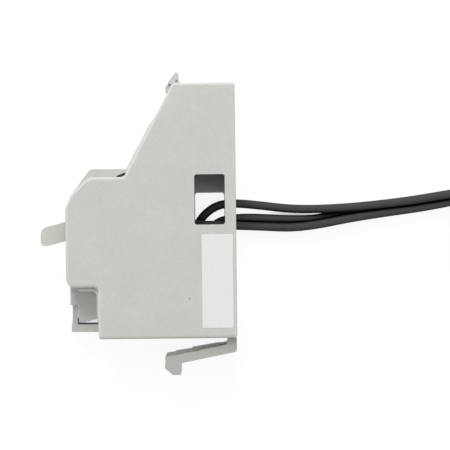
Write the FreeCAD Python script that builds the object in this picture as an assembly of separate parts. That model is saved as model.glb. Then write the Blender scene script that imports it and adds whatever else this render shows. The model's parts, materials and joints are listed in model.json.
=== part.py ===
"""Auxiliary contact block with a toggle lever, a snap latch and three flying leads.

Millimetres. The block lies on its far side: +X runs to the rear face that the leads leave,
+Y to the top of the block as it is mounted, and +Z to the near side wall.
The pieces are drawn from the rear face (X = 0), the bottom edge (Y = 0) and the far side
(Z = 0), and are moved at the end, so that the origin is under the middle of the block.
"""

import FreeCAD, Part
import math
import os

from FreeCAD import Vector

# Housing: overall sizes and walls
HOUSING_HEIGHT = 104.0
HOUSING_DEPTH = 69.5
HOUSING_WIDTH = 27.0
WALL = 1.8
SIDE_WALL = 2.0
RIM_RADIUS = 1.25
CORNER_RADIUS = 1.3
FAR_RIM_RADIUS = 0.5
FIT_GAP = 0.15

# Outline of the nose, the slope and the foot
TOP_DEPTH = 25.3
NOSE_RUN = 24.05
SLOPE_STEP_DROP_SHARE = 0.3776
SLOPE_STEP_HEIGHT_SHARE = 0.1239
SLOPE_STEP_DEPTH = 0.8
SLOPE_STEP_SETBACK = 1.6
NOSE_TOP = 66.0
NOSE_BOTTOM = 21.0
NOSE_CHAMFER_HIGH = 64.6
NOSE_CHAMFER_MID = 58.5
NOSE_CHAMFER_LOW = 53.6
FOOT_SETBACK = 13.0
LIP_DROP = 1.2
LIP_WIDTH = 6.5

# Far half: its nose stands higher and its foot runs the full depth
FAR_NOSE_TOP = 70.1
FAR_CHAMFER_LOW = 58.2
FAR_FOOT_BOTTOM = 2.3
FAR_HALF_WIDTH = 11.2
COVER_THICKNESS = 1.8
COVER_EDGE = 0.25
LEDGE_TOP = 5.5
CLAMP_OPENING_TOP = 13.5
CLAMP_RECESS = 1.1
LEDGE_RECESS = 0.8

# Cable windows in the two side walls and the slot in the rear wall
WINDOW_WIDTH = 12.4
WINDOW_REAR = 4.5
WINDOW_BOTTOM = 46.2
WINDOW_TOP = 66.7
FAR_WINDOW_TOP = 60.2
WINDOW_RADIUS = 1.0
EXIT_BOTTOM = 42.8

# Toggle lever, at rest in its lower position
PIVOT_SETBACK = 12.0
PIVOT_HEIGHT = 47.5
PIVOT_RADIUS = 1.5
RUNNING_CLEARANCE = 0.05
LEVER_SWING = 29.0
HANDLE_THICKNESS = 7.5
HANDLE_REACH = 22.9
HANDLE_WIDTH = 6.4
HUB_RADIUS = 10.5
SLOT_MARGIN = 0.6
PIVOT_BOSS_RADIUS = 3.5

# Cam on the lever, which works the switch plunger
CAM_RADIUS = 5.0
CAM_OFFSET = 3.1
CAM_WIDTH = 4.6
CAM_NECK_RADIUS = 3.6
DRIVE_ACROSS_FLATS = 5.0

# Snap-action switch
SWITCH_LENGTH = 20.0
SWITCH_HEIGHT = 10.6
SWITCH_WIDTH = 6.4
SWITCH_MIDDLE = 39.6
SWITCH_BOSS_HEIGHT = 1.8
SWITCH_PEG_SPACING = 9.5
SWITCH_PEG_RADIUS = 1.15
PLUNGER_RADIUS = 1.25
PLUNGER_PROTRUSION = 1.0
TAB_PITCH = 7.0
TAB_WIDTH = 2.8
TAB_THICKNESS = 0.5
TAB_LENGTH = 4.6
TAB_ROOT = 1.4
SLEEVE_LENGTH = 9.5
SLEEVE_WIDTH = 4.6
SLEEVE_THICKNESS = 3.8

# Leads, their coils and end sleeves
LEAD_DIAMETER = 3.6
COIL_RADIUS = 24.0
COIL_TURNS = 2.8
TURN_PITCH = 3.7
LAYER_PITCH = 3.7
LEAD_CLEARANCE = 0.1
COIL_X = 120.0
COIL_Y = 35.5
COLLAR_RADIUS = 1.85
COLLAR_LENGTH = 6.0
FERRULE_RADIUS = 1.1
FERRULE_LENGTH = 8.0
SLEEVE_PLACE = -80.0
SLEEVE_SPREAD = 14.0
SLEEVE_INWARD = 42.0
SLEEVE_START = 11.6

# Bottom latch
LATCH_INSET = 1.5
LATCH_STEP = 3.0
LATCH_PIN_RADIUS = 0.8
LATCH_PIN_DEPTH = 3.9
LATCH_PIN_HEIGHT = 4.2
LATCH_EYE_RADIUS = 1.9
LATCH_LEG = 3.6
LATCH_DROP = 5.8
LATCH_REACH = 29.8
HOOK_WIDTH = 6.6
HOOK_DROP = 15.1

# Screw clamp in the front of the foot
CLAMP_HEIGHT = 10.6
CLAMP_SCREW_RADIUS = 1.7
CLAMP_HEAD_RADIUS = 2.7
CLAMP_HEAD_HEIGHT = 2.4
CLAMP_WASHER_SIDE = 7.0
CLAMP_WASHER_THICKNESS = 0.9
CLAMP_STRIP_THICKNESS = 1.0
CLAMP_SETBACK = 6.6

# Screws that hold the halves together
SCREW_RADIUS = 1.25
SCREW_HEAD_RADIUS = 2.4
SCREW_SPARE = 8.0
SCREW_BOSS_RADIUS = 2.9
SCREW_HEAD_DEPTH = 0.3
SCREW_SLOT_WIDTH = 0.8
SCREW_SLOT_DEPTH = 0.6

# Paper label on the near side wall
LABEL_WIDTH = 12.7
LABEL_HEIGHT = 38.1
LABEL_THICKNESS = 0.12
LABEL_BOTTOM = 4.2
LABEL_REAR = 1.45

FOOT_DEPTH = HOUSING_DEPTH - FOOT_SETBACK
PIVOT_DEPTH = HOUSING_DEPTH - PIVOT_SETBACK
CLAMP_STRIP_DEPTH = HOUSING_DEPTH - CLAMP_SETBACK
LATCH_FAR = SIDE_WALL + LATCH_INSET
LATCH_NEAR = HOUSING_WIDTH - SIDE_WALL - LATCH_INSET
SCREW_LENGTH = HOUSING_WIDTH - SCREW_SPARE
SCREW_PLACES = [
    (8.0, HOUSING_HEIGHT - 7.0),
    (HOUSING_DEPTH - 33.0, 72.0),
    (11.0, 20.0),
    (FOOT_DEPTH - 6.5, 9.0),
]
CLAMP_Z = SIDE_WALL + (FAR_HALF_WIDTH - SIDE_WALL) / 2
SWITCH_Z = SIDE_WALL + SWITCH_BOSS_HEIGHT + FIT_GAP + SWITCH_WIDTH / 2
COVER_FACE = FAR_HALF_WIDTH + COVER_THICKNESS
LEVER_Z = COVER_FACE + 2 * FIT_GAP
PIVOT = Vector(-PIVOT_DEPTH, PIVOT_HEIGHT, 0)
Z_AXIS = Vector(0, 0, 1)
X_AXIS = Vector(1, 0, 0)


def polygon_wire(points):
    """A closed wire through (x, y, radius) corners, each rounded by its own radius."""
    count = len(points)
    edges = []
    starts = []
    ends = []
    for i, (x, y, radius) in enumerate(points):
        here = Vector(x, y, 0)
        before = Vector(*points[i - 1][:2], 0)
        after = Vector(*points[(i + 1) % count][:2], 0)
        to_before = (before - here).normalize()
        to_after = (after - here).normalize()
        half = to_before.getAngle(to_after) / 2
        if radius <= 0 or half > math.radians(89.9):
            starts.append(here)
            ends.append(here)
            continue
        reach = radius / math.tan(half)
        middle = (to_before + to_after).normalize() * (radius / math.sin(half) - radius)
        starts.append(here + to_before * reach)
        ends.append(here + to_after * reach)
        edges.append(Part.Arc(starts[i], here + middle, ends[i]).toShape())
    for i in range(count):
        following = starts[(i + 1) % count]
        if (following - ends[i]).Length > 1e-6:
            edges.append(Part.LineSegment(ends[i], following).toShape())
    return Part.Wire(Part.__sortEdges__(edges))


def plate(points, low, high):
    """A flat plate of an outline in X and Y, from one height to another."""
    face = Part.Face(polygon_wire(points))
    face.translate(Vector(0, 0, low))
    return face.extrude(Vector(0, 0, high - low))


def inset(points, distance):
    """The outline moved inward by a distance; its corners run anticlockwise."""
    count = len(points)
    moved = []
    for i, (x, y, radius) in enumerate(points):
        ax, ay = points[i - 1][:2]
        bx, by = points[(i + 1) % count][:2]
        first = Vector(x - ax, y - ay, 0).normalize()
        second = Vector(bx - x, by - y, 0).normalize()
        first_in = Vector(-first.y, first.x, 0)
        second_in = Vector(-second.y, second.x, 0)
        share = distance / (1 + first_in.dot(second_in))
        shift = (first_in + second_in) * share
        concave = first.cross(second).z < 0
        inner = radius + distance if concave else max(radius - distance, 0.4)
        moved.append((x + shift.x, y + shift.y, inner))
    return moved


def box(low, high):
    """A box between two corners."""
    size = [b - a for a, b in zip(low, high)]
    return Part.makeBox(*size, Vector(*low))


def rounded_box(low, high, radius):
    """A box whose upright edges are rounded."""
    corners = [(low[0], low[1], radius), (high[0], low[1], radius)]
    corners += [(high[0], high[1], radius), (low[0], high[1], radius)]
    return plate(corners, low[2], high[2])


def post(x, y, low, high, radius):
    """An upright cylinder."""
    return Part.makeCylinder(radius, high - low, Vector(x, y, low), Z_AXIS)


def cylinder_x(x, y, z, length, radius):
    """A cylinder along +X from a point."""
    return Part.makeCylinder(radius, length, Vector(x, y, z), X_AXIS)


def slope_depth(height):
    """How far in front of the rear face the slope is, at a height."""
    taper = (HOUSING_DEPTH - NOSE_RUN - TOP_DEPTH) / (HOUSING_HEIGHT - NOSE_TOP)
    return TOP_DEPTH + (HOUSING_HEIGHT - height) * taper


def step_heights():
    """Where the raised part of the slope starts, and where it is at its full depth."""
    rise = HOUSING_HEIGHT - FAR_NOSE_TOP
    high = HOUSING_HEIGHT - SLOPE_STEP_DROP_SHARE * rise
    return high, high - SLOPE_STEP_HEIGHT_SHARE * rise


def step_depth(height):
    """How far in front of the rear face the raised part of the slope is."""
    return slope_depth(height) + SLOPE_STEP_DEPTH


def slope_step():
    """The raised part of the near half's slope, which stays behind its rounded rim."""
    high, low = step_heights()
    end = NOSE_TOP + 1.6
    points = [
        (-slope_depth(high) + 1.0, high, 0),
        (-slope_depth(high), high, 0),
        (-step_depth(low), low, 1.0),
        (-step_depth(end), end, 0.4),
        (-slope_depth(end) + 1.0, end, 0),
    ]
    return plate(points, FAR_HALF_WIDTH, HOUSING_WIDTH - SLOPE_STEP_SETBACK)


def near_outline():
    """Corners of the near half, anticlockwise from the bottom of the rear face."""
    return [
        (0, 0, CORNER_RADIUS),
        (0, HOUSING_HEIGHT, CORNER_RADIUS),
        (-TOP_DEPTH, HOUSING_HEIGHT, CORNER_RADIUS),
        (-slope_depth(NOSE_TOP), NOSE_TOP, 2.4),
        (-HOUSING_DEPTH + 10.5, NOSE_TOP, 2.0),
        (-HOUSING_DEPTH + 7.9, NOSE_CHAMFER_HIGH, 2.0),
        (-HOUSING_DEPTH + 2.2, NOSE_CHAMFER_MID, 3.0),
        (-HOUSING_DEPTH, NOSE_CHAMFER_LOW, 3.0),
        (-HOUSING_DEPTH, NOSE_BOTTOM + 3.3, 2.0),
        (-HOUSING_DEPTH + 1.7, NOSE_BOTTOM, 1.5),
        (-FOOT_DEPTH, NOSE_BOTTOM, 1.7),
        (-FOOT_DEPTH, 0, CORNER_RADIUS),
    ]


def far_outline():
    """Corners of the far half: a higher nose, and a foot as deep as the nose."""
    high, low = step_heights()
    return [
        (0, 0, CORNER_RADIUS),
        (0, HOUSING_HEIGHT, CORNER_RADIUS),
        (-TOP_DEPTH, HOUSING_HEIGHT, CORNER_RADIUS),
        (-slope_depth(high), high, 1.0),
        (-step_depth(low), low, 1.0),
        (-step_depth(FAR_NOSE_TOP), FAR_NOSE_TOP, 2.4),
        (-HOUSING_DEPTH + 9.0, FAR_NOSE_TOP, 2.5),
        (-HOUSING_DEPTH + 0.2, FAR_CHAMFER_LOW, 4.0),
        (-HOUSING_DEPTH + 0.2, FAR_FOOT_BOTTOM, 1.2),
        (-FOOT_DEPTH, FAR_FOOT_BOTTOM, 0.6),
        (-FOOT_DEPTH + 1.2, 0, 0.6),
    ]


def cover_outline():
    """Corners of the mechanism cover, which closes the nose and the front of the foot."""
    front = -HOUSING_DEPTH + 0.2
    right = -slope_depth(FAR_NOSE_TOP)
    return [
        (right, NOSE_BOTTOM, 0),
        (right, FAR_NOSE_TOP - WALL - FIT_GAP, 0.8),
        (right - 1.6, FAR_NOSE_TOP, 0.8),
        (-HOUSING_DEPTH + 9.0, FAR_NOSE_TOP, 2.5),
        (front, FAR_CHAMFER_LOW, 4.0),
        (front, NOSE_BOTTOM, 4.0),
        (front + 0.4, CLAMP_OPENING_TOP + 0.9, 0.6),
        (front + 1.2, CLAMP_OPENING_TOP, 0.4),
        (front + 3.5, CLAMP_OPENING_TOP, 0.6),
        (front + 3.5, LEDGE_TOP + 0.4, 1.6),
        (front + 8.0, LEDGE_TOP + 0.6, 6.0),
        (-FOOT_DEPTH - FIT_GAP, LEDGE_TOP + 2.0, 0.4),
        (-FOOT_DEPTH - FIT_GAP, NOSE_BOTTOM, 0),
    ]


def window_box(top, low, high):
    """The cut of a cable window through a side wall."""
    front = -WINDOW_REAR - WINDOW_WIDTH
    return rounded_box((front, WINDOW_BOTTOM, low), (-WINDOW_REAR, top, high), WINDOW_RADIUS)


def latch_slot(low, high):
    """The slot in the bottom wall that the latch tongue passes through."""
    return box((-LATCH_PIN_DEPTH - 1.6, -1, low), (-WALL - 0.1, WALL + 0.5, high))


def near_housing():
    """The near half: a tray that opens to the far side, with its posts."""
    inner_face = HOUSING_WIDTH - SIDE_WALL
    shell = plate(near_outline(), FAR_HALF_WIDTH, HOUSING_WIDTH)
    rim = [e for e in shell.Edges if e.BoundBox.ZMin > HOUSING_WIDTH - 0.01]
    shell = shell.makeFillet(RIM_RADIUS, rim).fuse(slope_step()).removeSplitter()
    shell = shell.cut(plate(inset(near_outline(), WALL), 0, inner_face))
    nose_edge = -slope_depth(FAR_NOSE_TOP)
    shell = shell.cut(box((-HOUSING_DEPTH - 1, -1, 0), (nose_edge, HOUSING_HEIGHT, COVER_FACE)))
    wall_low = (-FOOT_DEPTH, CORNER_RADIUS, FAR_HALF_WIDTH)
    foot_wall = box(wall_low, (-FOOT_DEPTH + WALL, NOSE_BOTTOM, COVER_FACE))
    wall_low = (-FOOT_DEPTH + CORNER_RADIUS, 0, FAR_HALF_WIDTH)
    bottom_wall = box(wall_low, (nose_edge, WALL, COVER_FACE))
    lip_low = (-HOUSING_DEPTH + 1.2, NOSE_BOTTOM - LIP_DROP, COVER_FACE + FIT_GAP)
    lip = box(lip_low, (-FOOT_DEPTH + WALL, NOSE_BOTTOM + WALL, COVER_FACE + LIP_WIDTH))
    shell = shell.fuse([foot_wall, bottom_wall, lip]).removeSplitter()
    cuts = [
        window_box(WINDOW_TOP, inner_face - 1, HOUSING_WIDTH + 1),
        box((-WALL - 0.5, EXIT_BOTTOM, 0), (1, FAR_WINDOW_TOP, inner_face)),
        lever_slot(),
        latch_slot(LATCH_FAR - 2 * FIT_GAP, LATCH_NEAR + 2 * FIT_GAP),
    ]
    shell = shell.cut(cuts)
    boss_low = COVER_FACE + HANDLE_WIDTH + 4 * FIT_GAP
    posts = [post(PIVOT.x, PIVOT.y, boss_low, inner_face, PIVOT_BOSS_RADIUS)]
    for x, y in SCREW_PLACES:
        posts.append(post(-x, y, FAR_HALF_WIDTH, inner_face, SCREW_BOSS_RADIUS))
    posts.append(latch_boss(LATCH_NEAR + 2 * FIT_GAP, inner_face))
    shell = shell.fuse(posts)
    holes = [post(-x, y, 0, SCREW_LENGTH + 1.5, SCREW_RADIUS) for x, y in SCREW_PLACES]
    holes.append(post(PIVOT.x, PIVOT.y, boss_low - 1, inner_face, PIVOT_RADIUS))
    holes.append(post(-LATCH_PIN_DEPTH, LATCH_PIN_HEIGHT, 0, inner_face, LATCH_PIN_RADIUS))
    return shell.cut(holes)


def lever_slot():
    """The slot in the front of the near half that the handle swings in."""
    half = HANDLE_THICKNESS / 2 + SLOT_MARGIN
    run = HOUSING_DEPTH - PIVOT_DEPTH
    angle = math.radians(LEVER_SWING / 2)
    reach = run * math.tan(angle) + half / math.cos(angle)
    low = (-HOUSING_DEPTH - 1, PIVOT_HEIGHT - reach, 0)
    high = (-HOUSING_DEPTH + 6, PIVOT_HEIGHT + reach, LEVER_Z + HANDLE_WIDTH + 2 * FIT_GAP)
    return box(low, high)


def latch_boss(low, high):
    """A boss round one end of the latch pin, against the rear and bottom walls."""
    eye = post(-LATCH_PIN_DEPTH, LATCH_PIN_HEIGHT, low, high, LATCH_EYE_RADIUS)
    foot_low = (-LATCH_PIN_DEPTH - LATCH_EYE_RADIUS, WALL / 2, low)
    foot = box(foot_low, (-WALL / 2, LATCH_PIN_HEIGHT, high))
    return eye.fuse(foot)


def top_hook():
    """The catch on the top corner of the far half: a finger over a small set-back block."""
    low = HOUSING_HEIGHT - 1.7
    finger = [
        (-TOP_DEPTH - 0.6, HOUSING_HEIGHT - 2.0, 0),
        (-TOP_DEPTH + 2.5, HOUSING_HEIGHT - 1.0, 0),
        (-TOP_DEPTH + 2.5, HOUSING_HEIGHT + 1.9, 1.0),
        (-TOP_DEPTH + 2.0, HOUSING_HEIGHT + 5.6, 0.5),
        (-TOP_DEPTH + 1.0, HOUSING_HEIGHT + 6.4, 0.4),
        (-TOP_DEPTH - 2.4, HOUSING_HEIGHT + 1.95, 0.3),
        (-TOP_DEPTH - 2.4, HOUSING_HEIGHT + 1.5, 0.15),
        (-TOP_DEPTH - 0.6, HOUSING_HEIGHT + 1.3, 0.2),
    ]
    block = [
        (-slope_depth(low) + 1.0, low, 0),
        (-TOP_DEPTH + 1.0, HOUSING_HEIGHT - 0.6, 0),
        (-TOP_DEPTH + 1.0, HOUSING_HEIGHT + 0.6, 0),
        (-TOP_DEPTH - 3.5, HOUSING_HEIGHT + 0.6, 0.4),
        (-TOP_DEPTH - 3.5, low, 0.3),
    ]
    return plate(finger, 4.0, FAR_HALF_WIDTH).fuse(plate(block, 4.0, FAR_HALF_WIDTH - 1.4))


def far_housing():
    """The far half: the side that the block lies on, with walls, pegs and the top hook."""
    shell = plate(far_outline(), 0, FAR_HALF_WIDTH)
    rim = [e for e in shell.Edges if e.BoundBox.ZMax < 0.01]
    shell = shell.makeFillet(FAR_RIM_RADIUS, rim)
    shell = shell.cut(plate(inset(far_outline(), WALL), SIDE_WALL, FAR_HALF_WIDTH + 1))
    hook = top_hook().cut(plate(inset(far_outline(), WALL / 2), 0, FAR_HALF_WIDTH))
    ledge_low = (-HOUSING_DEPTH + WALL, FAR_FOOT_BOTTOM, SIDE_WALL / 2)
    ledge = box(ledge_low, (-FOOT_DEPTH, LEDGE_TOP, FAR_HALF_WIDTH))
    front_low = (-HOUSING_DEPTH + LEDGE_RECESS, FAR_FOOT_BOTTOM, FAR_HALF_WIDTH - 1)
    apron = rounded_box(front_low, (-FOOT_DEPTH - FIT_GAP, LEDGE_TOP, COVER_FACE), 0.5)
    shell = shell.fuse([hook, ledge, apron])
    front = -HOUSING_DEPTH - 1
    lintel_low = CLAMP_Z + CLAMP_HEAD_RADIUS + 2 * FIT_GAP
    clamp_low = (front, LEDGE_TOP, SIDE_WALL)
    cuts = [
        box(clamp_low, (-HOUSING_DEPTH + WALL + 1, CLAMP_OPENING_TOP, HOUSING_WIDTH)),
        box((front, LEDGE_TOP, -1), (-HOUSING_DEPTH + CLAMP_RECESS, CLAMP_OPENING_TOP, HOUSING_WIDTH)),
        box((front, -1, -1), (-HOUSING_DEPTH + LEDGE_RECESS, LEDGE_TOP, HOUSING_WIDTH)),
        window_box(FAR_WINDOW_TOP, -1, SIDE_WALL + 1),
        box((-WALL - 0.5, EXIT_BOTTOM, SIDE_WALL), (1, FAR_WINDOW_TOP, HOUSING_WIDTH)),
        latch_slot(LATCH_FAR - 2 * FIT_GAP, HOUSING_WIDTH),
    ]
    shell = shell.cut(cuts)
    boss_high = SWITCH_Z - CAM_WIDTH / 2 - 2 * FIT_GAP
    posts = [post(PIVOT.x, PIVOT.y, SIDE_WALL / 2, boss_high, PIVOT_BOSS_RADIUS)]
    posts.append(latch_boss(SIDE_WALL / 2, LATCH_FAR - 2 * FIT_GAP))
    for x, y in peg_places():
        posts.append(post(x, y, SIDE_WALL / 2, SIDE_WALL + SWITCH_BOSS_HEIGHT, SWITCH_PEG_RADIUS * 2))
        posts.append(post(x, y, SIDE_WALL / 2, SWITCH_Z + SWITCH_WIDTH / 2, SWITCH_PEG_RADIUS))
    for x, y in SCREW_PLACES:
        posts.append(post(-x, y, SIDE_WALL / 2, FAR_HALF_WIDTH - FIT_GAP, SCREW_BOSS_RADIUS))
    lintel_at = (-HOUSING_DEPTH + CLAMP_RECESS, LEDGE_TOP + 2.7, lintel_low)
    lintel = box(lintel_at, (lintel_at[0] + 2.5, CLAMP_OPENING_TOP + 1, FAR_HALF_WIDTH))
    groove_low = (front, CLAMP_OPENING_TOP - 2.8, FAR_HALF_WIDTH - 0.3)
    posts.append(lintel.cut(box(groove_low, (0, CLAMP_OPENING_TOP - 1.0, HOUSING_WIDTH))))
    rib_low = (-CLAMP_STRIP_DEPTH + CLAMP_STRIP_THICKNESS + FIT_GAP, LEDGE_TOP - 1, SIDE_WALL / 2)
    posts.append(box(rib_low, (rib_low[0] + 1.6, CLAMP_HEIGHT + 6, CLAMP_Z - 2.4)))
    shell = shell.fuse(posts)
    holes = [post(PIVOT.x, PIVOT.y, SIDE_WALL / 2, boss_high + 1, PIVOT_RADIUS)]
    holes.append(post(-LATCH_PIN_DEPTH, LATCH_PIN_HEIGHT, SIDE_WALL / 2, LATCH_FAR, LATCH_PIN_RADIUS))
    for x, y in SCREW_PLACES:
        holes.append(post(-x, y, -1, FAR_HALF_WIDTH + 1, SCREW_RADIUS + RUNNING_CLEARANCE))
        holes.append(screw_head(-x, y, SCREW_HEAD_DEPTH, RUNNING_CLEARANCE))
        holes.append(post(-x, y, -1, SCREW_HEAD_DEPTH, SCREW_HEAD_RADIUS + RUNNING_CLEARANCE))
    return shell.cut(holes)


def mechanism_cover():
    """The plate over the mechanism in the nose, level with the far half's rim."""
    lid = plate(cover_outline(), FAR_HALF_WIDTH, COVER_FACE)
    front = -HOUSING_DEPTH + 0.2
    edges = []
    for edge in lid.Edges:
        box_of = edge.BoundBox
        if box_of.ZMin > COVER_FACE - 0.01 and box_of.XMax < front + 9.5:
            edges.append(edge)
    lid = lid.makeChamfer(COVER_EDGE, edges)
    hole = post(PIVOT.x, PIVOT.y, 0, 99, CAM_NECK_RADIUS + FIT_GAP)
    return lid.cut([hole, cover_slot()])


def cover_slot():
    """The narrow slot in the cover, in the corner between the nose and the slope."""
    corner = -slope_depth(NOSE_TOP)
    points = [
        (corner - 4.6, NOSE_TOP - 1.0, 0),
        (corner + 0.8, NOSE_TOP - 1.0, 0),
        (corner + 1.4, NOSE_TOP + 3.2, 0.2),
        (corner + 0.75, NOSE_TOP + 3.55, 0.2),
        (corner - 0.3, NOSE_TOP + 2.6, 1.5),
        (corner - 1.9, NOSE_TOP + 1.95, 2.0),
        (corner - 3.45, NOSE_TOP + 1.35, 2.0),
        (corner - 4.6, NOSE_TOP + 0.5, 0.2),
    ]
    return plate(points, 0, HOUSING_WIDTH)


def peg_places():
    """Where the two pegs of the switch stand."""
    x = switch_front() + SWITCH_HEIGHT - 2.9
    return [(x, SWITCH_MIDDLE + side * SWITCH_PEG_SPACING / 2) for side in (-1, 1)]


def lever_angle():
    """The handle's droop at rest, half of its swing."""
    return LEVER_SWING / 2


def turned(shape):
    """A piece drawn with the handle level, turned to its rest position."""
    shape.rotate(PIVOT, Z_AXIS, lever_angle())
    return shape


def toggle_lever():
    """The handle with its round hub; the end face is upright at rest."""
    angle = math.radians(lever_angle())
    half = HANDLE_THICKNESS / 2
    long = (HANDLE_REACH + half * math.sin(angle)) / math.cos(angle)
    short = (HANDLE_REACH - half * math.sin(angle)) / math.cos(angle)
    x, y = PIVOT.x, PIVOT.y
    corners = [(x, y - half, 0), (x, y + half, 0), (x - short, y + half, 3.4), (x - long, y - half, 1.7)]
    top = LEVER_Z + HANDLE_WIDTH
    handle = plate(corners, LEVER_Z, top)
    hub = post(x, y, LEVER_Z, top, HUB_RADIUS)
    lever = handle.fuse(hub).removeSplitter()
    drive = hexagon(DRIVE_ACROSS_FLATS + 2 * RUNNING_CLEARANCE, LEVER_Z - 1, LEVER_Z + HANDLE_WIDTH / 2)
    lever = lever.cut([drive, post(x, y, 0, 99, PIVOT_RADIUS + RUNNING_CLEARANCE)])
    return turned(lever)


def hexagon(across, low, high):
    """A hexagonal prism on the pivot, across its flats."""
    radius = across / math.sqrt(3)
    corners = []
    for i in range(6):
        angle = math.radians(60 * i)
        corners.append((PIVOT.x + radius * math.cos(angle), PIVOT.y + radius * math.sin(angle), 0))
    return plate(corners, low, high)


def switch_cam():
    """The eccentric under the cover, keyed into the lever's hub by a hexagon."""
    low = SWITCH_Z - CAM_WIDTH / 2
    disc = post(PIVOT.x, PIVOT.y - CAM_OFFSET, low, low + CAM_WIDTH, CAM_RADIUS)
    neck = post(PIVOT.x, PIVOT.y, low, LEVER_Z - FIT_GAP, CAM_NECK_RADIUS)
    key = hexagon(DRIVE_ACROSS_FLATS, LEVER_Z - 2 * FIT_GAP, LEVER_Z + HANDLE_WIDTH / 2 - FIT_GAP)
    cam = disc.fuse([neck, key]).removeSplitter()
    return turned(cam.cut(post(PIVOT.x, PIVOT.y, 0, 99, PIVOT_RADIUS + RUNNING_CLEARANCE)))


def pivot_pin():
    """The steel pin that the lever turns on."""
    low = SIDE_WALL / 2
    high = HOUSING_WIDTH - SIDE_WALL - FIT_GAP
    return post(PIVOT.x, PIVOT.y, low, high, PIVOT_RADIUS)


def cam_front():
    """Where the cam's face meets the plunger at rest."""
    return PIVOT.x + CAM_OFFSET * math.sin(math.radians(lever_angle())) + CAM_RADIUS


def switch_front():
    """The front face of the switch, behind the pressed plunger."""
    return cam_front() + FIT_GAP + PLUNGER_PROTRUSION


def plunger_height():
    """The plunger's height, level with the middle of the cam."""
    return PIVOT.y - CAM_OFFSET * math.cos(math.radians(lever_angle()))


def switch_tabs():
    """The three tabs' middle heights, from the bottom."""
    return [SWITCH_MIDDLE + i * TAB_PITCH for i in (-1, 0, 1)]


def tab_shape(y, gap):
    """One flat tab, which starts inside the switch."""
    back = switch_front() + SWITCH_HEIGHT
    low = (back - TAB_ROOT, y - TAB_WIDTH / 2 - gap, SWITCH_Z - TAB_THICKNESS / 2 - gap)
    high = (back + TAB_LENGTH + gap, y + TAB_WIDTH / 2 + gap, SWITCH_Z + TAB_THICKNESS / 2 + gap)
    return box(low, high)


def switch_case():
    """The sealed case of the switch, with holes for its pegs and its plunger."""
    front = switch_front()
    low = (front, SWITCH_MIDDLE - SWITCH_LENGTH / 2, SWITCH_Z - SWITCH_WIDTH / 2)
    high = (front + SWITCH_HEIGHT, SWITCH_MIDDLE + SWITCH_LENGTH / 2, SWITCH_Z + SWITCH_WIDTH / 2)
    case = rounded_box(low, high, 0.6)
    cuts = [post(x, y, 0, 99, SWITCH_PEG_RADIUS + RUNNING_CLEARANCE) for x, y in peg_places()]
    bore = PLUNGER_RADIUS + RUNNING_CLEARANCE
    cuts.append(cylinder_x(front - 1, plunger_height(), SWITCH_Z, 6.0, bore))
    cuts += [tab_shape(y, 0) for y in switch_tabs()]
    return case.cut(cuts)


def switch_plunger():
    """The round plunger, pressed in by the cam at rest."""
    front = cam_front() + FIT_GAP
    plunger = cylinder_x(front, plunger_height(), SWITCH_Z, PLUNGER_PROTRUSION + 4.5, PLUNGER_RADIUS)
    tip = [e for e in plunger.Edges if e.BoundBox.XMax < front + 0.01]
    return plunger.makeFillet(0.3, tip)


def receptacle(y):
    """A push-on receptacle in its insulating sleeve, over one tab."""
    start = switch_front() + SWITCH_HEIGHT + 1.5
    low = (start, y - SLEEVE_WIDTH / 2, SWITCH_Z - SLEEVE_THICKNESS / 2)
    high = (start + SLEEVE_LENGTH, y + SLEEVE_WIDTH / 2, SWITCH_Z + SLEEVE_THICKNESS / 2)
    body = box(low, high)
    body = body.makeFillet(1.2, [e for e in body.Edges if e.BoundBox.XLength > SLEEVE_LENGTH - 0.01])
    return body.cut(tab_shape(y, RUNNING_CLEARANCE))


def sleeve_end():
    """Where a lead leaves its receptacle."""
    return switch_front() + SWITCH_HEIGHT + 1.5 + SLEEVE_LENGTH


def bundle_path(side, level):
    """The last points of a lead's route, up to where its coil starts."""
    entry = COIL_Y + COIL_RADIUS
    return [
        (101.5, entry - 0.9 + side * 1.3, level),
        (COIL_X, entry, level),
    ]


def lead_routes():
    """Each lead's points by hand, from its receptacle to its coil."""
    start = sleeve_end()
    low_tab, mid_tab, high_tab = switch_tabs()
    bend = start + 6.9
    upper = [
        (start, mid_tab, SWITCH_Z),
        (bend, mid_tab, SWITCH_Z),
        (-16.2, 43.4, 5.4),
        (-13.2, 50.3, 4.4),
        (-7.4, 54.9, 4.1),
        (-0.2, 55.5, 4.3),
        (9.0, 54.7, 3.1),
        (24.4, 52.7, 2.0),
        (39.5, 52.7, 4.6),
        (54.7, 53.65, 5.5),
        (73.0, 55.6, 5.65),
        (91.0, 58.45, 5.65),
    ]
    middle = [
        (start, low_tab, SWITCH_Z),
        (bend, low_tab, SWITCH_Z),
        (-16.2, 35.9, 5.4),
        (-11.9, 41.6, 4.2),
        (-6.9, 48.0, 4.0),
        (1.8, 49.8, 4.0),
        (12.0, 49.5, 2.5),
        (22.0, 48.5, 1.9),
        (33.0, 48.4, 1.95),
        (43.0, 50.5, 1.9),
        (58.0, 52.8, 1.95),
        (75.0, 55.8, 1.9),
        (91.0, 58.3, 1.9),
    ]
    lower = [
        (start, high_tab, SWITCH_Z),
        (bend, high_tab, SWITCH_Z),
        (-16.8, 46.5, 9.0),
        (-9.0, 46.3, 8.6),
        (2.0, 45.6, 5.3),
        (12.0, 45.1, 2.9),
        (24.3, 44.8, 3.6),
        (36.0, 46.2, 5.0),
        (47.0, 48.4, 5.0),
        (62.3, 50.7, 4.6),
        (77.5, 52.6, 3.9),
        (91.0, 54.95, 3.9),
    ]
    routes = {"upper": upper, "middle": middle, "lower": lower}
    for name, (side, layer) in {"upper": (1, 2), "middle": (0, 0), "lower": (-1, 1)}.items():
        level = layer_height(layer)
        tail = bundle_path(side, level)
        routes[name] = routes[name] + tail
    return routes


def layer_height(layer):
    """The middle height of one layer of the coil."""
    return LEAD_DIAMETER / 2 + LEAD_CLEARANCE + layer * LAYER_PITCH


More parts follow.
